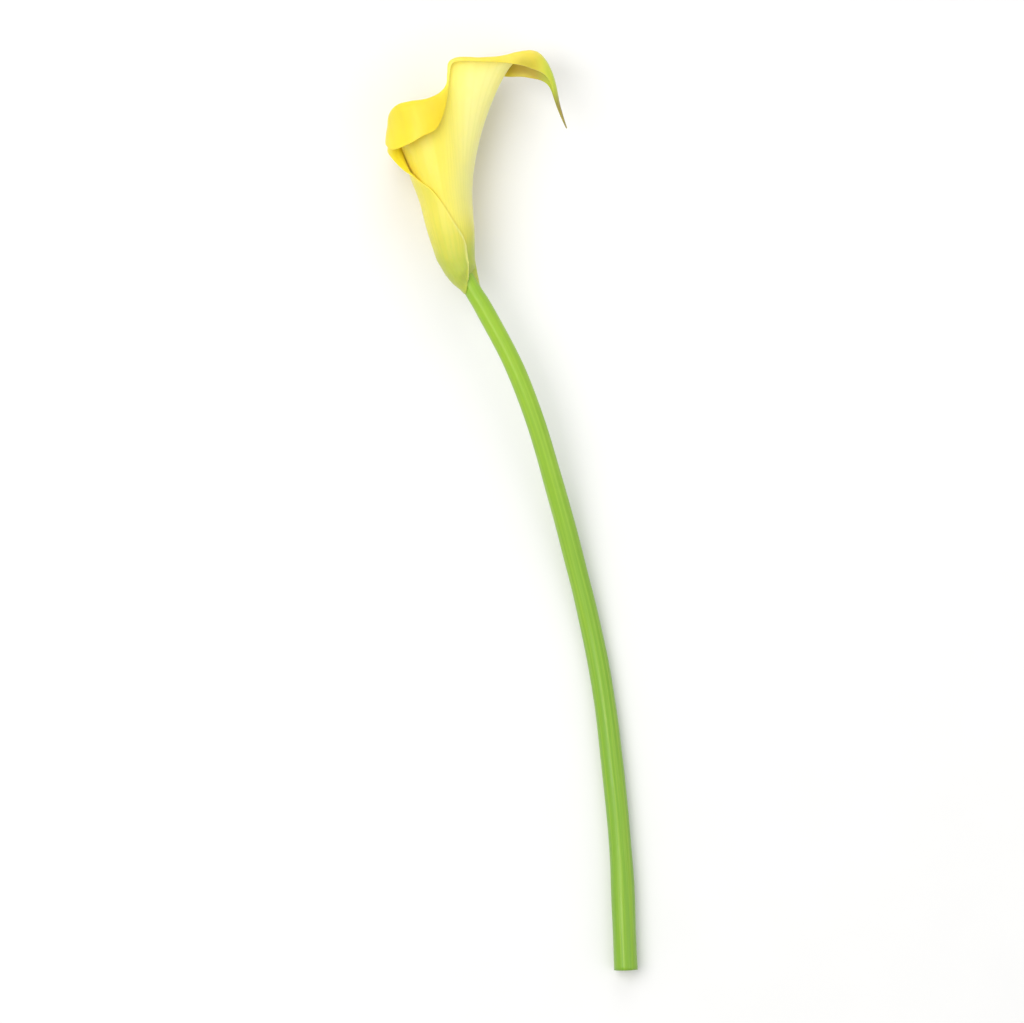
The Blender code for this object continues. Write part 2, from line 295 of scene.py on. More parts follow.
class Sketch:
    """Adds nodes to one node tree and joins them."""

    def __init__(self, tree: bpy.types.NodeTree) -> None:
        """Starts on an empty tree.

        Args:
            tree: The tree to fill.
        """
        self.tree = tree
        self.tree.nodes.clear()

    def node(self, kind: str, inputs: dict | None = None, **settings: object) -> bpy.types.Node:
        """Adds one node.

        Args:
            kind: Blender's name for the node type.
            inputs: Input name or number, and the value or socket that it takes.
            settings: Properties of the node itself.

        Returns:
            The new node.
        """
        made = self.tree.nodes.new(kind)
        made.location = (len(self.tree.nodes) % 8 * 200.0, len(self.tree.nodes) // 8 * -320.0)
        for name, value in settings.items():
            setattr(made, name, value)
        for name, value in (inputs or {}).items():
            self.feed(made.inputs[name], value)
        return made

    def feed(self, socket: bpy.types.NodeSocket, value: object) -> None:
        """Sets an input, or joins it to another node's output.

        Args:
            socket: The input.
            value: A plain value, or the output to join it to.
        """
        if isinstance(value, bpy.types.NodeSocket):
            self.tree.links.new(value, socket)
        else:
            socket.default_value = value

    def math(self, operation: str, *values: object) -> bpy.types.NodeSocket:
        """Adds a Math node on one, two or three values and returns its output."""
        made = self.node("ShaderNodeMath", dict(enumerate(values)), operation=operation)
        return made.outputs[0]

    def spread(
        self, value: object, low: float, high: float, start: float = 0.0, end: float = 1.0
    ) -> bpy.types.NodeSocket:
        """Maps a value from one range to another and keeps it inside.

        Args:
            value: The value or socket to map.
            low: What maps to the start.
            high: What maps to the end.
            start: First value of the new range.
            end: Last value of the new range.

        Returns:
            The mapped value.
        """
        inputs = {"Value": value, "From Min": low, "From Max": high, "To Min": start, "To Max": end}
        return self.node("ShaderNodeMapRange", inputs, interpolation_type="SMOOTHSTEP").outputs[0]

    def mixed(self, factor: object, first: object, second: object) -> bpy.types.NodeSocket:
        """Mixes two colours and returns the mix."""
        inputs = {0: factor, 6: opaque(first), 7: opaque(second)}
        return self.node("ShaderNodeMix", inputs, data_type="RGBA").outputs[2]

    def noise(
        self, place: object, scale: object, detail: float, roughness: float
    ) -> bpy.types.NodeSocket:
        """Adds a Noise texture and returns its value.

        Args:
            place: Coordinates to read it at.
            scale: How fine it is, per metre of the coordinates.
            detail: Number of finer layers.
            roughness: How strong the finer layers are.

        Returns:
            The noise value.
        """
        inputs = {"Vector": place, "Scale": scale, "Detail": detail, "Roughness": roughness}
        return self.node("ShaderNodeTexNoise", inputs).outputs[0]

    def bump(self, shader: bpy.types.Node, height: object, strength: float, depth: float) -> None:
        """Gives a shader fine relief.

        Args:
            shader: The Principled shader.
            height: How far the surface stands out, as a share of the depth.
            strength: How strongly the relief shows.
            depth: Its depth, in metres.
        """
        inputs = {"Height": height, "Strength": strength, "Distance": depth}
        self.feed(shader.inputs["Normal"], self.node("ShaderNodeBump", inputs).outputs[0])

    def attribute(self, name: str) -> bpy.types.NodeSocket:
        """Reads a number kept on the mesh's own vertices."""
        return self.node("ShaderNodeAttribute", attribute_name=name).outputs["Fac"]

    def place(self) -> bpy.types.NodeSocket:
        """Gives the piece's own Object coordinates."""
        return self.node("ShaderNodeTexCoord").outputs["Object"]


def opaque(colour: object) -> object:
    """Adds full alpha to a plain colour, and leaves a socket as it is."""
    return (*colour, 1.0) if isinstance(colour, tuple) else colour


def make_translucent(shader: bpy.types.Node, share: float, reach: Triple, depth: float) -> None:
    """Lets light spread below a surface.

    Args:
        shader: The Principled shader.
        share: How much of the light spreads.
        reach: How far its red, green and blue go, as shares of the depth.
        depth: The depth, in metres.
    """
    shader.inputs["Subsurface Weight"].default_value = share
    shader.inputs["Subsurface Radius"].default_value = reach
    shader.inputs["Subsurface Scale"].default_value = depth


class Effect(Enum):
    """The shared effects, each a node group."""

    MOTTLING = "soft mottling"
    RIBS = "long ribs"
    SKIN = "plant skin"


def new_group(
    effect: Effect, inputs: dict[str, str], outputs: dict[str, str]
) -> tuple[bpy.types.NodeTree, Sketch, bpy.types.Node, bpy.types.Node]:
    """Starts a node group with its sockets.

    Args:
        effect: Which effect the group holds.
        inputs: Input names and socket types.
        outputs: Output names and socket types.

    Returns:
        The group, a sketch on its tree, its input node and its output node.
    """
    group = bpy.data.node_groups.new(effect.value, "ShaderNodeTree")
    for name, kind in inputs.items():
        group.interface.new_socket(name, in_out="INPUT", socket_type=kind)
    for name, kind in outputs.items():
        group.interface.new_socket(name, in_out="OUTPUT", socket_type=kind)
    sketch = Sketch(group)
    return group, sketch, sketch.node("NodeGroupInput"), sketch.node("NodeGroupOutput")


def mottling_group() -> bpy.types.NodeTree:
    """Builds the soft clouds of deeper and paler colour that living tissue has.

    Returns:
        The node group.
    """
    group, sketch, given, result = new_group(
        Effect.MOTTLING,
        {"Place": "NodeSocketVector", "Scale": "NodeSocketFloat"},
        {"Mask": "NodeSocketFloat"},
    )
    broad = sketch.noise(given.outputs["Place"], given.outputs["Scale"], detail=3.0, roughness=0.55)
    finer = sketch.math("MULTIPLY", given.outputs["Scale"], 4.3)
    fine = sketch.noise(given.outputs["Place"], finer, detail=2.0, roughness=0.5)
    blend = sketch.math("MULTIPLY_ADD", fine, 0.35, sketch.math("MULTIPLY", broad, 0.65))
    sketch.feed(result.inputs["Mask"], sketch.spread(blend, low=0.36, high=0.64))
    return group


def ribs_group() -> bpy.types.NodeTree:
    """Builds the fine parallel veins, as a mask of lines along the piece's own UV map.

    Returns:
        The node group.
    """
    group, sketch, given, result = new_group(
        Effect.RIBS,
        {"Count": "NodeSocketFloat", "Wander": "NodeSocketFloat"},
        {"Mask": "NodeSocketFloat"},
    )
    uv = sketch.node("ShaderNodeUVMap", uv_map="sheet").outputs[0]
    parts = sketch.node("ShaderNodeSeparateXYZ", {0: uv})
    stretched = sketch.node("ShaderNodeMapping", {"Vector": uv, "Scale": (60.0, 3.0, 1.0)}).outputs[0]
    bent = sketch.noise(stretched, 1.0, detail=2.0, roughness=0.5)
    across = sketch.math("MULTIPLY", parts.outputs[0], given.outputs["Count"])
    moved = sketch.math("MULTIPLY_ADD", bent, given.outputs["Wander"], across)
    wave = sketch.math("PINGPONG", moved, 0.5)
    lines = sketch.spread(wave, low=0.0, high=0.32, start=1.0, end=0.0)
    sketch.feed(result.inputs["Mask"], lines)
    return group


def skin_group() -> bpy.types.NodeTree:
    """Builds the grain of cells on a petal or stalk, as heights for a Bump node.

    Returns:
        The node group.
    """
    group, sketch, given, result = new_group(
        Effect.SKIN,
        {"Place": "NodeSocketVector", "Scale": "NodeSocketFloat"},
        {"Height": "NodeSocketFloat"},
    )
    cells = sketch.node(
        "ShaderNodeTexVoronoi",
        {"Vector": given.outputs["Place"], "Scale": given.outputs["Scale"]},
        feature="SMOOTH_F1",
    )
    slow = sketch.math("MULTIPLY", given.outputs["Scale"], 0.22)
    waves = sketch.noise(given.outputs["Place"], slow, detail=3.0, roughness=0.6)
    height = sketch.math("MULTIPLY_ADD", cells.outputs["Distance"], 0.4, waves)
    sketch.feed(result.inputs["Height"], height)
    return group


GROUP_BUILDERS = {
    Effect.MOTTLING: mottling_group,
    Effect.RIBS: ribs_group,
    Effect.SKIN: skin_group,
}


def effect_node(sketch: Sketch, effect: Effect, inputs: dict) -> bpy.types.NodeSocket:
    """Places a shared effect in a material.

    Args:
        sketch: The material's sketch.
        effect: Which effect.
        inputs: Its input values or sockets.

    Returns:
        The effect's output.
    """
    group = bpy.data.node_groups.get(effect.value) or GROUP_BUILDERS[effect]()
    return sketch.node("ShaderNodeGroup", inputs, node_tree=group).outputs[0]


@dataclass(frozen=True)
class Finish:
    """A material with one Principled shader, which each kind of finish fills in its own way."""

    name: str

    def make(self) -> bpy.types.Material:
        """Builds the material.

        Returns:
            The finished material.
        """
        made = bpy.data.materials.new(self.name)
        made.use_nodes = True
        sketch = Sketch(made.node_tree)
        shader = sketch.node("ShaderNodeBsdfPrincipled")
        output = sketch.node("ShaderNodeOutputMaterial")
        sketch.feed(output.inputs["Surface"], shader.outputs[0])
        self.fill(sketch, shader)
        return made

    def fill(self, sketch: Sketch, shader: bpy.types.Node) -> None:
        """Gives the shader its inputs; each kind of finish has its own."""
        raise NotImplementedError


@dataclass(frozen=True)
class PetalFinish(Finish):
    """One face of the spathe: satin, translucent tissue with fine veins.

    The sheet keeps the strength of each tint on its vertices. The face names those that it shows, with the
    colour of each and how much of it follows the clouds.
    """

    main: Colour
    tints: tuple[tuple[str, Colour, float], ...]
    vein: Colour
    cloud: Colour
    cloud_share: float = 0.12
    vein_share: float = 0.07
    extra_at_base: float = 0.34
    roughness: float = 0.4

    def fill(self, sketch: Sketch, shader: bpy.types.Node) -> None:
        """Gives the shader its inputs.

        Args:
            sketch: The material's sketch.
            shader: Its Principled shader.
        """
        place = sketch.place()
        clouds = effect_node(sketch, Effect.MOTTLING, {"Place": place, "Scale": 60.0})
        ribs = effect_node(sketch, Effect.RIBS, {"Count": 60.0, "Wander": 1.1})
        skin = effect_node(sketch, Effect.SKIN, {"Place": place, "Scale": 2400.0})
        colour = self.main
        for name, tint, unevenness in self.tints:
            colour = sketch.mixed(self.uneven(sketch, name, clouds, unevenness), colour, tint)
        colour = sketch.mixed(sketch.math("MULTIPLY", clouds, self.cloud_share), colour, self.cloud)
        green = sketch.attribute("base")
        strength = sketch.math("MULTIPLY_ADD", green, self.extra_at_base, self.vein_share)
        colour = sketch.mixed(sketch.math("MULTIPLY", ribs, strength), colour, self.vein)
        sketch.feed(shader.inputs["Base Color"], colour)
        least, most = self.roughness - 0.04, self.roughness + 0.05
        rough = sketch.spread(clouds, low=0.0, high=1.0, start=least, end=most)
        sketch.feed(shader.inputs["Roughness"], rough)
        height = sketch.math("MULTIPLY_ADD", ribs, -0.15, skin)
        sketch.bump(shader, height, strength=0.14, depth=0.0002)
        make_translucent(shader, share=0.5, reach=(1.0, 0.75, 0.2), depth=0.003)
        shader.inputs["Specular IOR Level"].default_value = 0.45
        shader.inputs["Sheen Weight"].default_value = 0.1
        shader.inputs["Sheen Roughness"].default_value = 0.4

    @staticmethod
    def uneven(sketch: Sketch, name: str, clouds: object, share: float) -> bpy.types.NodeSocket:
        """Breaks up a tint that is kept on the vertices.

        Args:
            sketch: The material's sketch.
            name: The vertex attribute that holds the tint's strength.
            clouds: A mask to break it up with.
            share: How much of the tint follows the mask.

        Returns:
            The uneven strength.
        """
        kept = sketch.attribute(name)
        broken = sketch.math("MULTIPLY_ADD", clouds, share, 1.0 - share / 2)
        inputs = {0: kept, 1: broken}
        return sketch.node("ShaderNodeMath", inputs, operation="MULTIPLY", use_clamp=True).outputs[0]


@dataclass(frozen=True)
class StalkFinish(Finish):
    """The stem's smooth skin: green, streaked along its length."""

    upper: Colour
    lower: Colour
    streak: Colour
    roughness: float = 0.34

    def fill(self, sketch: Sketch, shader: bpy.types.Node) -> None:
        """Gives the shader its inputs.

        Args:
            sketch: The material's sketch.
            shader: Its Principled shader.
        """
        place = sketch.place()
        clouds = effect_node(sketch, Effect.MOTTLING, {"Place": place, "Scale": 55.0})
        skin = effect_node(sketch, Effect.SKIN, {"Place": place, "Scale": 1800.0})
        uv = sketch.node("ShaderNodeUVMap", uv_map="sheet").outputs[0]
        drawn = sketch.node("ShaderNodeMapping", {"Vector": uv, "Scale": (26.0, 5.0, 1.0)}).outputs[0]
        lines = sketch.noise(drawn, 1.0, detail=4.0, roughness=0.6)
        streaks = sketch.spread(lines, low=0.42, high=0.66, end=0.4)
        colour = sketch.mixed(sketch.attribute("down"), self.upper, self.lower)
        colour = sketch.mixed(sketch.math("MULTIPLY", clouds, 0.35), colour, self.lower)
        colour = sketch.mixed(streaks, colour, self.streak)
        sketch.feed(shader.inputs["Base Color"], colour)
        least, most = self.roughness - 0.05, self.roughness + 0.08
        rough = sketch.spread(clouds, low=0.0, high=1.0, start=least, end=most)
        sketch.feed(shader.inputs["Roughness"], rough)
        height = sketch.math("MULTIPLY_ADD", lines, 0.8, skin)
        sketch.bump(shader, height, strength=0.16, depth=0.0002)
        make_translucent(shader, share=0.2, reach=(0.5, 1.0, 0.15), depth=0.002)


@dataclass(frozen=True)
class CutFinish(Finish):
    """The cut end of the stem: wet, pale tissue with darker strands."""

    flesh: Colour
    strand: Colour

    def fill(self, sketch: Sketch, shader: bpy.types.Node) -> None:
        """Gives the shader its inputs.

        Args:
            sketch: The material's sketch.
            shader: Its Principled shader.
        """
        place = sketch.place()
        dots = sketch.node("ShaderNodeTexVoronoi", {"Vector": place, "Scale": 1400.0})
        strands = sketch.spread(dots.outputs["Distance"], low=0.12, high=0.34, start=1.0, end=0.0)
        grain = sketch.noise(place, 3000.0, detail=3.0, roughness=0.6)
        colour = sketch.mixed(strands, self.flesh, self.strand)
        colour = sketch.mixed(sketch.math("MULTIPLY", grain, 0.35), colour, self.strand)
        sketch.feed(shader.inputs["Base Color"], colour)
        rough = sketch.spread(grain, low=0.3, high=0.7, start=0.25, end=0.5)
        sketch.feed(shader.inputs["Roughness"], rough)
        height = sketch.math("SUBTRACT", grain, strands)
        sketch.bump(shader, height, strength=0.5, depth=0.0002)
        make_translucent(shader, share=0.3, reach=(0.8, 1.0, 0.4), depth=0.002)


@dataclass(frozen=True)
class FloretFinish(Finish):
    """The spadix: rows of florets dusted with pollen."""

    lit: Colour
    shaded: Colour
    pollen: Colour

    def fill(self, sketch: Sketch, shader: bpy.types.Node) -> None:
        """Gives the shader its inputs.

        Args:
            sketch: The material's sketch.
            shader: Its Principled shader.
        """
        place = sketch.place()
        clouds = effect_node(sketch, Effect.MOTTLING, {"Place": place, "Scale": 260.0})
        dust = sketch.noise(place, 9000.0, detail=2.0, roughness=0.7)
        dusted = sketch.spread(dust, low=0.5, high=0.62, end=0.7)
        colour = sketch.mixed(sketch.attribute("tone"), self.shaded, self.lit)
        colour = sketch.mixed(sketch.math("MULTIPLY", clouds, 0.4), colour, self.shaded)
        colour = sketch.mixed(dusted, colour, self.pollen)
        sketch.feed(shader.inputs["Base Color"], colour)
        rough = sketch.spread(dust, low=0.3, high=0.7, start=0.7, end=0.95)
        sketch.feed(shader.inputs["Roughness"], rough)
        sketch.bump(shader, dust, strength=0.4, depth=0.0001)
        make_translucent(shader, share=0.15, reach=(1.0, 0.6, 0.1), depth=0.001)


@dataclass(frozen=True)
class FloorFinish(Finish):
    """The pale, matt studio floor."""

    colour: Colour
    shade: float = 0.97
    roughness: float = 0.85

    def fill(self, sketch: Sketch, shader: bpy.types.Node) -> None:
        """Gives the shader its inputs.

        Args:
            sketch: The material's sketch.
            shader: Its Principled shader.
        """
        grain = sketch.noise(sketch.place(), 40.0, detail=3.0, roughness=0.5)
        shade = tuple(value * self.shade for value in self.colour)
        sketch.feed(shader.inputs["Base Color"], sketch.mixed(grain, self.colour, shade))
        shader.inputs["Roughness"].default_value = self.roughness


def new_piece(name: str, work: bmesh.types.BMesh, finishes: list) -> bpy.types.Object:
    """Makes an object from a bmesh.

    Args:
        name: The piece's name.
        work: The shape, in metres, which is used up.
        finishes: Its materials, in the order of its faces' material numbers.

    Returns:
        The new object, smooth shaded.
    """
    mesh = bpy.data.meshes.new(name)
    work.to_mesh(mesh)
    work.free()
    for finish in finishes:
        mesh.materials.append(finish)
    mesh.shade_smooth()
    thing = bpy.data.objects.new(name, mesh)
    bpy.context.scene.collection.objects.link(thing)
    return thing


def stand_for(piece: bpy.types.Object, node: str) -> None:
    """Lets a piece stand for a CAD node: it rides with the body, and the node is hidden.

    Args:
        piece: The finished piece.
        node: The node's name.
    """
    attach(piece, BODY)
    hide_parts(node)
    log.info("%s: %d faces", piece.name, len(piece.data.polygons))


def add_rod(work: bmesh.types.BMesh, sides: int, rings: int) -> None:
    """Adds an upright rod round the origin, one unit tall and with a radius of one, cut into rings.

    Args:
        work: The shape to add it to.
        sides: Number of sides.
        rings: Number of rings.
    """
    bmesh.ops.create_cone(
        work, cap_ends=True, segments=sides, radius1=1.0, radius2=1.0, depth=1.0, calc_uvs=True
    )
    long_edges = [edge for edge in work.edges if abs(edge.verts[0].co.z - edge.verts[1].co.z) > HALF_ROD]
    bmesh.ops.subdivide_edges(work, edges=long_edges, cuts=rings - 1, use_grid_fill=True)


def in_place(point: Vector) -> Vector:
    """Turns a point of the flower's own frame, in millimetres, into a place in the scene."""
    return (point + FLOWER_BASE) * MM


@dataclass
class Spathe:
    """The yellow bract: one sheet wrapped into a funnel, with a rolled lip and a drooping tip."""

    thickness: float = 0.6
    lip_thickness: float = 0.36
    layer_shift: float = 0.45
    steps_up: int = 54
    steps_over: int = 16
    steps_between: int = 7
    path_steps: int = 24
    flare_start: float = 29.0
    flare_delay: float = 7.0
    flare_share: float = 0.75
    plain_lip: float = 2.0
    thread_across: float = 20.0
    thread_height: float = 59.5
    thread_length: float = 9.8
    thread_lean: float = 1.9
    thread_bend: float = 1.7
    clasp_height: float = 3.2
    clasp_gap: float = 0.03
    rib_count: int = 60
    rib_height: float = 0.02
    wave_height: float = 0.16
    wave_size: float = 9.0
    relief_loss: float = 0.6
    rim_share: float = 0.4

    # Angles over which the outer and the inner layer part, open late and clasp the stem
    outer_parting: Span = (60.0, 120.0)
    inner_parting: Span = (-15.0, 40.0)
    outer_delay: Span = (110.0, 180.0)
    inner_delay: Span = (110.0, 176.0)
    clasped_side: Span = (-306.0, -262.0)

    # Shares of the way up over which the relief, the waves and the thinning come and go
    relief_rise: Span = (0.0, 0.25)
    relief_fall: Span = (0.8, 1.0)
    wave_rise: Span = (0.35, 0.9)
    thinning: Span = (0.3, 1.0)

    def shift(self, angle: float) -> float:
        """Gives how far a layer lies out of the mean radius, so that the two sides clear each other."""
        return self.layer_shift * (ramp(-angle, *self.outer_parting) - ramp(angle, *self.inner_parting))

    def tube_point(self, angle: float, height: float) -> Vector:
        """Gives a point of the sheet in the funnel's lower part.

        Args:
            angle: Direction round the funnel.
            height: Height on the funnel's axis.

        Returns:
            The point, in millimetres.
        """
        centre, radius = read_at(TUBE, height)
        turn = math.radians(angle)
        reach = radius + self.shift(angle)
        return Vector((centre + reach * math.cos(turn), height, reach * math.sin(turn)))

    def start_of_flare(self, angle: float) -> float:
        """Gives the height where the sheet leaves the funnel: later where its two sides overlap."""
        front = ramp(-angle, *self.outer_delay) + ramp(angle, *self.inner_delay)
        return self.flare_start + self.flare_delay * front

    def plain_vein(self, angle: float, end: float) -> list[float]:
        """Gives a guide vein that ends on the funnel.

        Args:
            angle: Its direction round the funnel.
            end: The height where it ends.

        Returns:
            Its angle, the top of the lip, the edge of the lip and its sweep, as plain numbers.
        """
        top = self.tube_point(angle, end - self.plain_lip)
        edge = self.tube_point(angle, end)
        return [angle, *top, *edge, *(edge - top)]

    def guide_veins(self) -> list[list[float]]:
        """Lists every guide vein in the order of their angles.

        Returns:
            For each, its angle, the top of the lip, the edge of the lip and its sweep, as plain numbers.
        """
        flap = [self.plain_vein(angle, end) for angle, end in FLAP_EDGE]
        lip = [[row.angle, *row.top, *row.edge, *row.sweep] for row in LIP]
        tucked = [self.plain_vein(angle, end) for angle, end in TUCKED_EDGE]
        return flap + lip + tucked

    def funnel_path(self, angle: float, foot: float, start: float) -> list[Vector]:
        """Gives points of a vein from the foot of the sheet up the funnel."""
        steps = self.path_steps
        return [self.tube_point(angle, foot + (start - foot) * i / steps) for i in range(steps)]

    def flare_path(self, first: Vector, rise: Vector, top: Vector, sweep: Vector) -> list[Vector]:
        """Gives points of a vein from the funnel to the top of the lip.

        Args:
            first: Where the vein leaves the funnel.
            rise: Its direction there, as long as the way to the top.
            top: The top of the lip.
            sweep: Its direction over the top.

        Returns:
            Points from first to top.
        """
        path = []
        for i in range(self.path_steps + 1):
            t = i / self.path_steps
            leaving = first * (1 + 2 * t) * (1 - t) ** 2 + rise * t * (1 - t) ** 2
            arriving = top * t * t * (3 - 2 * t) + sweep * t * t * (t - 1)
            path.append(leaving + arriving)
        return path

    def rolled_path(self, top: Vector, edge: Vector, sweep: Vector) -> list[Vector]:
        """Gives points of a vein over the top of the lip, along a quarter of an ellipse.

        Args:
            top: The top of the lip.
            edge: The lip's edge.
            sweep: The vein's direction over the top.

        Returns:
            Points from top to edge.
        """
        heading = sweep.normalized()
        out = heading * (edge - top).dot(heading)
        drop = edge - top - out
        turns = [math.pi / 2 * i / self.path_steps for i in range(self.path_steps + 1)]
        return [top + out * math.sin(turn) + drop * (1 - math.cos(turn)) for turn in turns]

    def vein_points(self, row: list[float]) -> list[Vector]:
        """Gives the points of one vein.

        Args:
            row: The vein as plain numbers, as guide_veins lists it.

        Returns:
            Points that are evenly spaced up to the lip's top, and again over it.
        """
        angle = row[0]
        top, edge, sweep = Vector(row[1:4]), Vector(row[4:7]), Vector(row[7:10])
        foot = read_at(FOOT, angle)[0]
        start = min(self.start_of_flare(angle), foot + self.flare_share * (top.y - foot))
        first = self.tube_point(angle, start)
        below = self.tube_point(angle, start - 1.0)
        rise = (first - below).normalized() * (top - first).length
        funnel = [self.clasped(angle, foot, point) for point in self.funnel_path(angle, foot, start)]
        path = funnel + self.flare_path(first, rise, top, sweep)
        up = spaced(path, self.steps_up)[:-1]
        over = spaced(self.rolled_path(top, edge, sweep), self.steps_over)
        return [self.leaning(point) for point in up + over]

    def leaning(self, point: Vector) -> Vector:
        """Moves a point outwards where it belongs to the tip's dried thread.

        Args:
            point: A point of a vein.

        Returns:
            The point in its final place.
        """
        if point.x > self.thread_across and point.y < self.thread_height:
            drop = (self.thread_height - point.y) / self.thread_length
            point.x += self.thread_lean * drop**self.thread_bend
        return point

    def clasped(self, angle: float, foot: float, point: Vector) -> Vector:
        """Draws a point near the foot of the sheet in to the stem, which the sheet grows from.

        Args:
            angle: Direction of the point's vein round the funnel.
            foot: Height of the foot there.
            point: A point of the vein.

        Returns:
            The point, nearer to the stem the closer it is to the foot.
        """
        low = 1.0 - soft_ramp(point.y - foot, 0.0, self.clasp_height)
        hold = low * soft_ramp(angle, *self.clasped_side)
        centre, radius = stem_at_height(point.y)
        out = Vector((point.x - centre.x, 0.0, point.z - centre.z))
        goal = radius + self.clasp_gap + self.thickness / 2
        drawn = out * (1.0 + (goal / out.length - 1.0) * hold)
        return Vector((centre.x + drawn.x, point.y, centre.z + drawn.z))

    def relief(self, across: float, along: float, point: Vector) -> float:
        """Gives how far the sheet's surface stands out, in millimetres.

        Args:
            across: Share of the way across the sheet.
            along: Share of the way up the sheet.
            point: Where it is.

        Returns:
            The height of veins and slow waves there.
        """
        ribs = math.cos(math.tau * self.rib_count * across) * self.rib_height
        kept = 1.0 - self.relief_loss * soft_ramp(along, *self.relief_fall)
        fade = soft_ramp(along, *self.relief_rise) * kept
        waves = noise.noise(point / self.wave_size) * self.wave_height
        return (ribs + waves * soft_ramp(along, *self.wave_rise)) * fade

    def tints(self, angle: float, up: float, over: float, point: Vector) -> dict[str, float]:
        """Gives the strength of each tint at a place on the sheet: some are the sheet's own colours, and
        some are painted shade and a painted highlight.

        Args:
            angle: Direction of the vein round the funnel.
            up: Share of the way to the top of the lip.
            over: Share of the way over it.
            point: Where it is, in millimetres.

        Returns:
            A strength from 0 to 1 for each tint's name.
        """
        # Deep yellow fills the throat, and the inside of the lobe that folds over at the left
        lobe = 0.25 + 0.75 * soft_ramp(abs(angle), 58.0, 88.0)
        deep = 1.0 - soft_ramp(up, 0.5, 0.95)
        # Painted shade in gold: the lobe darkens towards the funnel and at its edge
        front = soft_ramp(angle, 70.0, 90.0) * (1.0 - soft_ramp(angle, 160.0, 182.0))
        fold = 0.6 * soft_ramp(point.x, -24.0, -9.0) + 0.3 * soft_ramp(over, 0.7, 1.0)
        # Green comes up from the foot, and further up on the side that the tip droops to
        foot = 1.0 - soft_ramp(point.y, -3.0, 25.0)
        side = 0.75 * soft_ramp(point.x, -3.0, 2.5) * (1.0 - soft_ramp(point.y, 4.0, 28.0))
        # The outer side's free edge is pale low down
        margin = (1.0 - soft_ramp(point.y, 13.0, 25.0)) * soft_ramp(over, 0.1, 0.7)
        # Painted shade on the part that droops: darker on the side that faces down and on its inside
        underside_shade = soft_ramp(point.x, 6.0, 13.0) * soft_ramp(-point.z, 0.3, 1.6)
        hood_shade = 0.2 * soft_ramp(point.x, 2.0, 8.0) + 0.75 * soft_ramp(point.x, 12.5, 17.5)
        return {
            "throat": max(lobe, deep),
            # Painted gold shade on the lobe, and on the inside towards the tip
            "gold_shade": max(front * fold, 0.45 * soft_ramp(point.x, -9.0, 3.0)),
            # Painted highlight on the funnel's front, from the middle up
            "painted_highlight": soft_ramp(point.x, -10.0, 2.0) * soft_ramp(point.y, 10.0, 34.0),
            "underside_shade": underside_shade,
            # Painted shadow in the crease along the drooping lip's edge
            "crease_shadow": underside_shade * soft_ramp(point.y + 0.45 * max(point.x - 17.0, 0.0), 66.0, 68.4),
            "base": min(1.15 * foot + side, 1.0),
            "margin": 0.8 * max(margin, soft_ramp(-angle, 294.0, 303.0)),
            # Deeper yellow below the lip's top: the rolled lip's band, and painted shade under its edge
            "rim": 0.5 * soft_ramp(up, 0.9, 1.0) * soft_ramp(point.y, 56.0, 66.0),
            "hood_shade": hood_shade * soft_ramp(over, 0.15, 0.9) * (1.0 - soft_ramp(point.x, 20.0, 24.0)),
            "tip": soft_ramp(point.x, 19.5, 26.0),
            "dry": soft_ramp(-point.y, -64.0, -56.0) * soft_ramp(point.x, 21.0, 25.0),
        }

    def shape(self) -> bmesh.types.BMesh:
        """Makes the sheet as a grid whose columns are the veins, with its tints on the vertices.

        Returns:
            The sheet's middle surface, in metres.
        """
        guides = self.guide_veins()
        columns = (len(guides) - 1) * self.steps_between
        rows = self.steps_up + self.steps_over
        lines = [between(guides, i / self.steps_between) for i in range(columns + 1)]
        veins = [self.vein_points(line) for line in lines]
        work = bmesh.new()
        work.loops.layers.uv.new("sheet")
        bmesh.ops.create_grid(work, x_segments=columns, y_segments=rows, size=1.0, calc_uvs=True)
        names = list(self.tints(0.0, 0.0, 0.0, Vector()))
        layers = {name: work.verts.layers.float.new(name) for name in names}
        weights = work.verts.layers.deform.verify()
        spots = {}
        for vertex in work.verts:
            column = round((vertex.co.x + 1) / 2 * columns)
            row = round((vertex.co.y + 1) / 2 * rows)
            point = veins[column][row]
            up = min(row / self.steps_up, 1.0)
            over = max(row - self.steps_up, 0) / self.steps_over
            spots[vertex] = (column / columns, row / rows, point)
            vertex.co = point
            for name, strength in self.tints(lines[column][0], up, over, point).items():
                vertex[layers[name]] = strength
            vertex[weights][0] = 1.0 - soft_ramp(row / rows, *self.thinning)
        work.normal_update()
        for vertex, (across, along, point) in spots.items():
            vertex.co = in_place(point + vertex.normal * self.relief(across, along, point))
        self.face_outwards(work)
        return work

    @staticmethod
    def face_outwards(work: bmesh.types.BMesh) -> None:
        """Turns the sheet's faces over where the ones low in the funnel face its axis.

        Args:
            work: The sheet, in metres.
        """
        height, centre, _ = TUBE[4]
        middle = in_place(Vector((centre, height, 0.0)))
        work.normal_update()
        probe = min(work.verts, key=lambda vertex: (vertex.co - middle).length)
        if probe.normal.dot(probe.co - middle) < 0:
            bmesh.ops.reverse_faces(work, faces=work.faces[:])

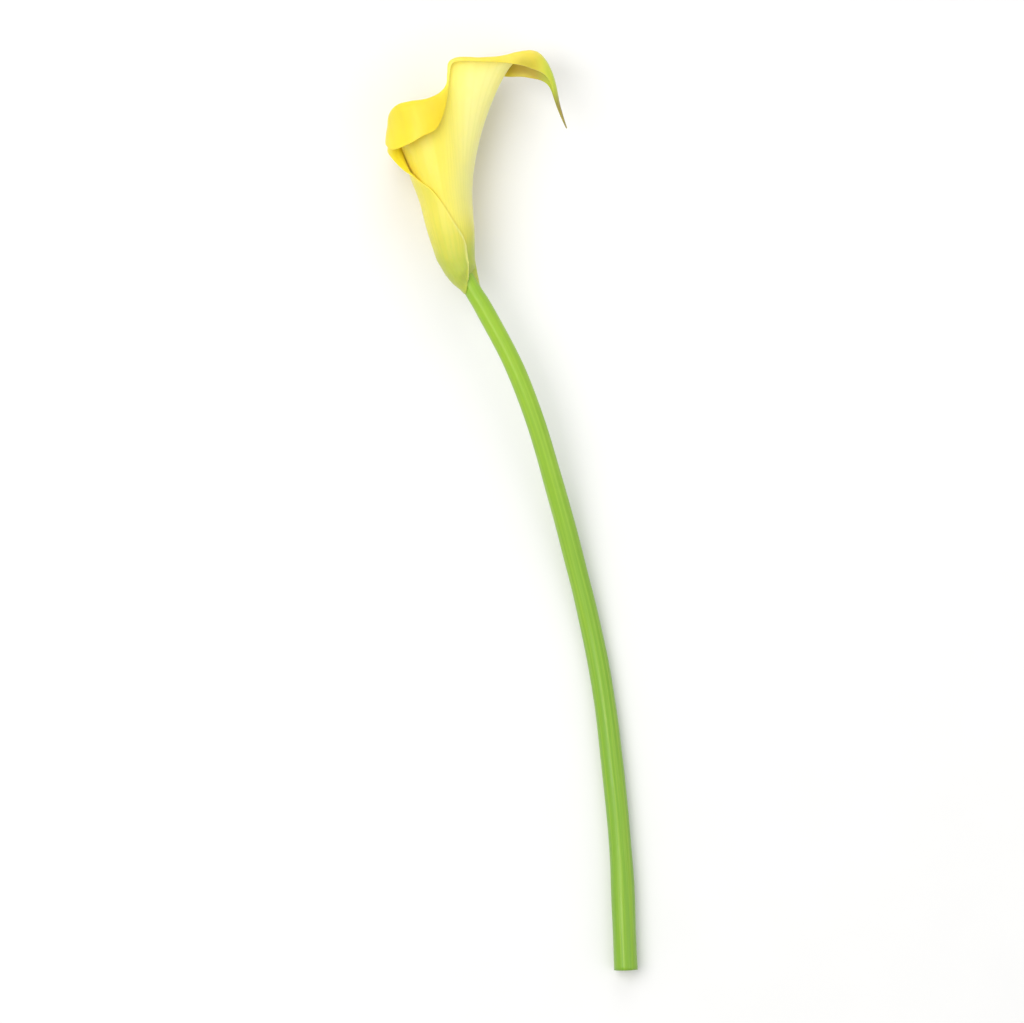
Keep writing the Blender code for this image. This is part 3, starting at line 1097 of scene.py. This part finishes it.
    def build(self, outside: bpy.types.Material, inside: bpy.types.Material) -> bpy.types.Object:
        """Builds the piece.

        Args:
            outside: Finish of the funnel's outer face.
            inside: Finish of its inner face and rim.

        Returns:
            The piece, with live modifiers for its thickness and soft rim.
        """
        piece = new_piece("spathe_sheet", self.shape(), [outside, inside])
        piece.vertex_groups.new(name="thick")
        thick = piece.modifiers.new("thickness", "SOLIDIFY")
        thick.thickness = self.thickness * MM
        thick.offset = 0.0
        thick.use_even_offset = False
        thick.vertex_group = "thick"
        thick.thickness_vertex_group = self.lip_thickness / self.thickness
        thick.material_offset = 1
        thick.material_offset_rim = 1
        soft = piece.modifiers.new("soft rim", "BEVEL")
        soft.width = self.lip_thickness * self.rim_share * MM
        soft.segments = 2
        soft.limit_method = "ANGLE"
        soft.angle_limit = math.radians(60.0)
        stand_for(piece, "spathe")
        return piece


@dataclass
class Stem:
    """The stalk: smooth, faintly ribbed, cut off square at its lower end."""

    sides: int = 40
    rings: int = 220
    line_steps: int = 700
    easing: int = 150
    easing_share: float = 0.5
    easing_depth: Span = (5.0, 30.0)
    ribs: int = 9
    rib_share: float = 0.006
    wobble: float = 0.05
    wobble_across: float = 0.7
    wobble_along: float = 14.0
    darkening: Span = (0.05, 0.7)
    cut_rim: float = 0.35
    cut_step: float = 0.9
    cut_depth: float = 0.12

    def centre_line(self) -> list[Vector]:
        """Gives the stem's centre line, evenly spaced and with its bends eased.

        Returns:
            The centre and the radius at every ring, as four numbers.
        """
        last = len(STEM) - 1
        rows = [Vector(between(STEM, last * i / self.line_steps)) for i in range(self.line_steps + 1)]
        line = spaced(rows, self.rings)
        for _ in range(self.easing):
            eased = [
                here.lerp(
                    (before + after) / 2,
                    self.easing_share * soft_ramp(-here.y, *self.easing_depth),
                )
                for before, here, after in zip(line, line[1:], line[2:])
            ]
            line = [line[0], *eased, line[-1]]
        return line

    def bent(self, line: list[Vector], along: float, across: Vector) -> Vector:
        """Bends a point of a straight rod along the stem's centre line.

        Args:
            line: Centre and radius at every ring.
            along: Share of the way down.
            across: Place in the rod's section, with a radius of 1.

        Returns:
            The point in the flower's own frame, in millimetres.
        """
        ring = round(along * self.rings)
        tangent = (line[min(ring + 1, self.rings)] - line[max(ring - 1, 0)]).to_3d().normalized()
        side, up = section_axes(tangent)
        turn = math.atan2(across.y, across.x)
        uneven = 1.0 + self.rib_share * math.cos(self.ribs * turn)
        wide, tall = self.wobble_across, self.wobble_along
        spot = Vector((across.x * wide, across.y * wide, along * tall))
        uneven += self.wobble * noise.noise(spot)
        return line[ring].to_3d() + (side * across.x + up * across.y) * line[ring].w * uneven

    def shape(self) -> bmesh.types.BMesh:
        """Makes a straight rod, bends it and hollows its cut end a little.

        Returns:
            The stalk, in metres.
        """
        work = bmesh.new()
        work.loops.layers.uv.new("sheet")
        add_rod(work, self.sides, self.rings)
        cut_face = max(work.faces, key=lambda face: face.calc_center_median().z)
        down = work.verts.layers.float.new("down")
        line = self.centre_line()
        for vertex in work.verts:
            along = vertex.co.z + HALF_ROD
            vertex[down] = soft_ramp(along, *self.darkening)
            vertex.co = in_place(self.bent(line, along, Vector((vertex.co.x, vertex.co.y))))
        bmesh.ops.recalc_face_normals(work, faces=work.faces[:])
        cut_face.material_index = 1
        rim = (self.cut_rim, 0.0)
        step = (self.cut_step, self.cut_depth)
        for width, depth in (rim, step, step):
            ring = bmesh.ops.inset_region(
                work, faces=[cut_face], thickness=width * MM, depth=-depth * MM
            )
            for face in ring["faces"]:
                face.material_index = 1
        bmesh.ops.recalc_face_normals(work, faces=work.faces[:])
        return work

    def build(self, skin: bpy.types.Material, cut: bpy.types.Material) -> bpy.types.Object:
        """Builds the piece.

        Args:
            skin: Finish of the stalk's skin.
            cut: Finish of its cut end.

        Returns:
            The piece.
        """
        piece = new_piece("stalk", self.shape(), [skin, cut])
        stand_for(piece, "stem")
        return piece


@dataclass
class Spadix:
    """The rod inside the funnel, covered in small florets on a spiral."""

    florets: int = 900
    floret_size: float = 0.5
    floret_sides: int = 7
    floret_rings: int = 4
    flatness: float = 0.75
    core_share: float = 0.86
    sides: int = 20
    rings: int = 60
    taper_start: float = 0.93
    taper: float = 0.9
    aim: float = 0.05
    seed: int = 7

    # Least and most of what a floret's size is multiplied by, and of how light it is
    sizes: Span = (0.85, 1.12)
    shades: Span = (0.2, 1.0)

    def at(self, along: float) -> tuple[Vector, Vector, float]:
        """Reads the rod's table.

        Args:
            along: Share of the rod's length, from its foot.

        Returns:
            The centre there, the rod's direction and its radius.
        """
        last = len(SPADIX) - 1
        place = min(max(along, 0.0), 1.0) * last
        *centre, radius = between(SPADIX, place)
        radius *= math.sqrt(1.0 - self.taper * ramp(along, self.taper_start, 1.0) ** 2)
        ahead = Vector(between(SPADIX, min(place + self.aim, last))[:3])
        behind = Vector(between(SPADIX, max(place - self.aim, 0.0))[:3])
        return Vector(centre), (ahead - behind).normalized(), radius

    def core(self) -> bmesh.types.BMesh:
        """Makes the rod that the florets sit on.

        Returns:
            The rod, in metres.
        """
        work = bmesh.new()
        add_rod(work, self.sides, self.rings)
        for vertex in work.verts:
            centre, tangent, radius = self.at(vertex.co.z + HALF_ROD)
            side, up = section_axes(tangent)
            # The minus turns the rod's faces outwards
            offset = (side * vertex.co.x - up * vertex.co.y) * radius * self.core_share
            vertex.co = in_place(centre + offset)
        return work

    def floret(self, shade: float) -> bmesh.types.BMesh:
        """Makes one round floret.

        Args:
            shade: How light it is, from 0 to 1.

        Returns:
            The floret, with a radius of one.
        """
        work = bmesh.new()
        tone = work.verts.layers.float.new("tone")
        bmesh.ops.create_uvsphere(
            work, u_segments=self.floret_sides, v_segments=self.floret_rings, radius=1.0
        )
        for vertex in work.verts:
            vertex[tone] = shade
        return work

    def shape(self) -> bmesh.types.BMesh:
        """Makes the rod and sets a floret at every step of the spiral.

        Returns:
            The whole spadix, in metres.
        """
        work = self.core()
        tone = work.verts.layers.float.new("tone")
        for vertex in work.verts:
            vertex[tone] = 0.0
        carrier = bpy.data.meshes.new("one floret")
        draw = random.Random(self.seed)
        golden_turn = math.pi * (3.0 - math.sqrt(5.0))
        for i in range(self.florets):
            along = (i + 0.5) / self.florets
            centre, tangent, radius = self.at(along)
            side, up = section_axes(tangent)
            turn = i * golden_turn
            outward = side * math.cos(turn) + up * math.sin(turn)
            size = self.floret_size * draw.uniform(*self.sizes)
            spot = in_place(centre + outward * radius * self.core_share)
            facing = outward.to_track_quat("Z", "Y").to_matrix().to_4x4()
            scale = Matrix.Diagonal((size * MM, size * MM, size * self.flatness * MM, 1.0))
            floret = self.floret(draw.uniform(*self.shades))
            floret.transform(Matrix.Translation(spot) @ facing @ scale)
            floret.to_mesh(carrier)
            floret.free()
            work.from_mesh(carrier)
        bpy.data.meshes.remove(carrier)
        return work

    def build(self, finish: bpy.types.Material) -> bpy.types.Object:
        """Builds the piece.

        Args:
            finish: Its material.

        Returns:
            The piece.
        """
        piece = new_piece("spadix_florets", self.shape(), [finish])
        stand_for(piece, "spadix")
        return piece


@dataclass(frozen=True)
class Lamp:
    """A square soft light that faces the flower: its place and side in metres, its power in watts."""

    name: str
    place: Triple
    size: float
    power: float
    colour: Colour

    def hang(self) -> None:
        """Hangs the light in the scene."""
        light = bpy.data.lights.new(self.name, "AREA")
        light.size = self.size
        light.energy = self.power
        light.color = self.colour
        holder = bpy.data.objects.new(self.name, light)
        holder.location = self.place
        holder.rotation_euler = (-Vector(self.place)).to_track_quat("-Z", "Y").to_euler()
        bpy.context.scene.collection.objects.link(holder)


@dataclass
class Studio:
    """The pale floor, the soft lights and the camera that looks straight down."""

    floor_size: float = 6.0
    camera_height: float = 2.0
    field: float = 0.325
    sensor: float = 36.0
    sky: float = 0.54
    lamps: tuple[Lamp, ...] = (
        Lamp("key light", place=(-0.7, 0.35, 1.5), size=1.4, power=20.0, colour=(1.0, 0.99, 0.96)),
        Lamp("fill light", place=(1.0, -0.4, 1.2), size=1.4, power=4.0, colour=(0.97, 0.99, 1.0)),
        Lamp("top light", place=(0.1, 1.2, 0.9), size=0.9, power=4.0, colour=(1.0, 1.0, 1.0)),
    )

    def floor(self, finish: bpy.types.Material) -> bpy.types.Object:
        """Lays the floor.

        Args:
            finish: Its material.

        Returns:
            The floor, which isn't part of the flower.
        """
        work = bmesh.new()
        bmesh.ops.create_grid(work, x_segments=4, y_segments=4, size=self.floor_size / 2)
        piece = new_piece("studio_floor", work, [finish])
        return piece

    def lights(self) -> None:
        """Hangs the lights and sets the even light all round."""
        for lamp in self.lamps:
            lamp.hang()
        world = bpy.data.worlds.new("studio")
        world.use_nodes = True
        background = world.node_tree.nodes["Background"]
        background.inputs[0].default_value = (1.0, 1.0, 1.0, 1.0)
        background.inputs[1].default_value = self.sky
        bpy.context.scene.world = world

    def camera(self) -> None:
        """Hangs the camera over the flower, its top towards the flower's."""
        camera = bpy.data.cameras.new("camera")
        camera.sensor_width = self.sensor
        camera.lens = self.sensor * self.camera_height / self.field
        holder = bpy.data.objects.new("camera", camera)
        holder.location = (0.0, 0.0, self.camera_height)
        bpy.context.scene.collection.objects.link(holder)
        bpy.context.scene.camera = holder

    def build(self, finish: bpy.types.Material) -> None:
        """Sets up the whole studio.

        Args:
            finish: The floor's material.
        """
        self.floor(finish)
        self.lights()
        self.camera()
        log.info("studio: floor, lights and camera")


# Colours are linear red, green and blue
GREEN_BASE = (0.42, 0.52, 0.07)
GREEN_TIP = (0.32, 0.48, 0.04)
DRIED = (0.15, 0.15, 0.05)
SHADED_CREASE = (0.36, 0.265, 0.02)
OUTER_FACE = PetalFinish(
    name="petal outside",
    main=(0.97, 0.79, 0.095),
    tints=(
        # Painted highlight on the funnel's front
        ("painted_highlight", (0.95, 0.89, 0.32), 0.1),
        # The rolled lip's band, and painted shade under its edge
        ("rim", (0.96, 0.72, 0.07), 0.1),
        # Painted shade on the underside of the drooping part
        ("underside_shade", (0.6, 0.49, 0.05), 0.2),
        ("crease_shadow", SHADED_CREASE, 0.2),
        ("base", GREEN_BASE, 0.3),
        ("margin", (0.88, 0.86, 0.3), 0.1),
        ("tip", GREEN_TIP, 0.35),
        ("dry", DRIED, 0.2),
    ),
    vein=(0.5, 0.6, 0.07),
    cloud=(0.93, 0.74, 0.08),
)
INNER_FACE = PetalFinish(
    name="petal inside",
    main=(0.93, 0.79, 0.17),
    tints=(
        ("throat", (0.97, 0.73, 0.03), 0.1),
        # Painted shade in gold, on the lobe and towards the tip
        ("gold_shade", (0.95, 0.61, 0.014), 0.2),
        # Painted shade on the inside of the drooping part
        ("hood_shade", (0.5, 0.41, 0.03), 0.3),
        ("crease_shadow", SHADED_CREASE, 0.2),
        ("base", (0.74, 0.72, 0.2), 0.3),
        ("tip", (0.42, 0.58, 0.05), 0.35),
        ("dry", DRIED, 0.2),
    ),
    vein=(0.85, 0.6, 0.04),
    cloud=(0.95, 0.68, 0.03),
    vein_share=0.16,
    roughness=0.44,
)
STALK = StalkFinish(
    name="stalk skin",
    upper=(0.31, 0.52, 0.03),
    lower=(0.2, 0.4, 0.025),
    streak=(0.4, 0.6, 0.05),
)
CUT_END = CutFinish(name="cut stalk", flesh=(0.62, 0.68, 0.38), strand=(0.25, 0.38, 0.1))
FLORETS = FloretFinish(
    name="pollen florets",
    lit=(0.95, 0.66, 0.08),
    shaded=(0.72, 0.42, 0.03),
    pollen=(1.0, 0.82, 0.3),
)
FLOOR = FloorFinish(name="studio floor", colour=(0.86, 0.86, 0.86))


def write_sizes() -> None:
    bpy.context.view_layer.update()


def main() -> None:
    """Builds the flower and its studio."""
    logging.basicConfig(level=logging.INFO, format="%(name)s: %(message)s")
    bpy.context.scene.view_settings.view_transform = "Standard"
    Studio().build(FLOOR.make())
    Stem().build(STALK.make(), CUT_END.make())
    Spathe().build(OUTER_FACE.make(), INNER_FACE.make())
    Spadix().build(FLORETS.make())
    write_sizes()


if __name__ == "__main__":
    main()
